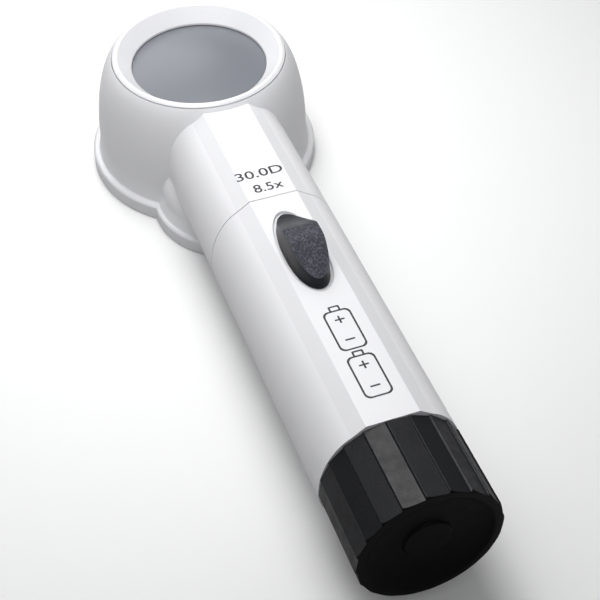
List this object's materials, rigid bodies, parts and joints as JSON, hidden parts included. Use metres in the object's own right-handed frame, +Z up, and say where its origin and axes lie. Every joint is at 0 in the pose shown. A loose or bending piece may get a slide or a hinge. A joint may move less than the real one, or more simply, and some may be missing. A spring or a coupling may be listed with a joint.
{
  "type": "low vision magnifier",
  "caption": "Illuminated stand magnifier: bell stand with a thick lens on top, lamp chamber and a straight battery handle with a thumb switch and screw cap.",
  "frame": {"origin": "centre of the whole object's footprint box, on the plane it stands on", "axes": "+X along the handle from the bell to the end cap, +Z up, the object is symmetric about Y = 0 apart from the cap's grip and thread"},
  "size_m": [0.216, 0.0716, 0.0463],
  "materials": {
    "white_plastic": "glossy moulded",
    "black_plastic": "fine grained",
    "cream_plastic": "plain moulded",
    "clear_glass": "polished",
    "black_rubber": "matt",
    "brass": "stamped",
    "nickel": "nickel plated",
    "cell_steel": "printed sleeve over steel",
    "mirror_metal": "metallised"
  },
  "bodies": {
    "head": {"head_shell": "white_plastic", "lens_bezel": "white_plastic", "lens": "clear_glass", "lens_gasket": "black_rubber"},
    "handle": {"handle_tube": "white_plastic", "cap_seal": "black_rubber", "lamp_reflector": "mirror_metal", "lamp_holder": "cream_plastic", "lamp_socket": "nickel", "lamp_centre_contact": "brass", "bulb_glass": "clear_glass", "bulb_shell": "nickel", "bulb_insulator": "black_plastic", "bulb_tip": "nickel", "front_contact_strip": "brass", "rear_contact_strip": "brass", "front_cell_can": "cell_steel", "front_cell_seal": "black_plastic", "front_cell_terminal": "nickel", "rear_cell_can": "cell_steel", "rear_cell_seal": "black_plastic", "rear_cell_terminal": "nickel"},
    "switch": {"switch_slider": "black_plastic", "switch_contact": "brass", "switch_rivet": "nickel"},
    "cap_contact": {"battery_spring": "nickel", "spring_plate": "nickel", "spring_clip": "brass"},
    "cap": {"end_cap": "black_plastic"}
  },
  "joints": [
    {"name": "handle_pull", "type": "slide", "parent": "head", "child": "handle", "axis": [0.9997, 0, 0.0262], "range_m": [0, 0.03]},
    {"name": "switch_slide", "type": "slide", "parent": "handle", "child": "switch", "axis": [-0.9997, 0, -0.0262], "range_m": [-0.0013, 0.0013]},
    {"name": "cap_advance", "type": "slide", "parent": "handle", "child": "cap_contact", "axis": [0.9997, 0, 0.0262], "range_m": [0, 0.0096]},
    {"name": "cap_turn", "type": "hinge", "parent": "cap_contact", "child": "cap", "pos_m": [0.08346, 0, 0.02187], "axis": [0.9997, 0, 0.0262], "range_deg": [0, 1080]}
  ],
  "couplings": [
    {"joint": "cap_turn", "follows": "cap_advance", "rad_per_m": 1963.5}
  ]
}
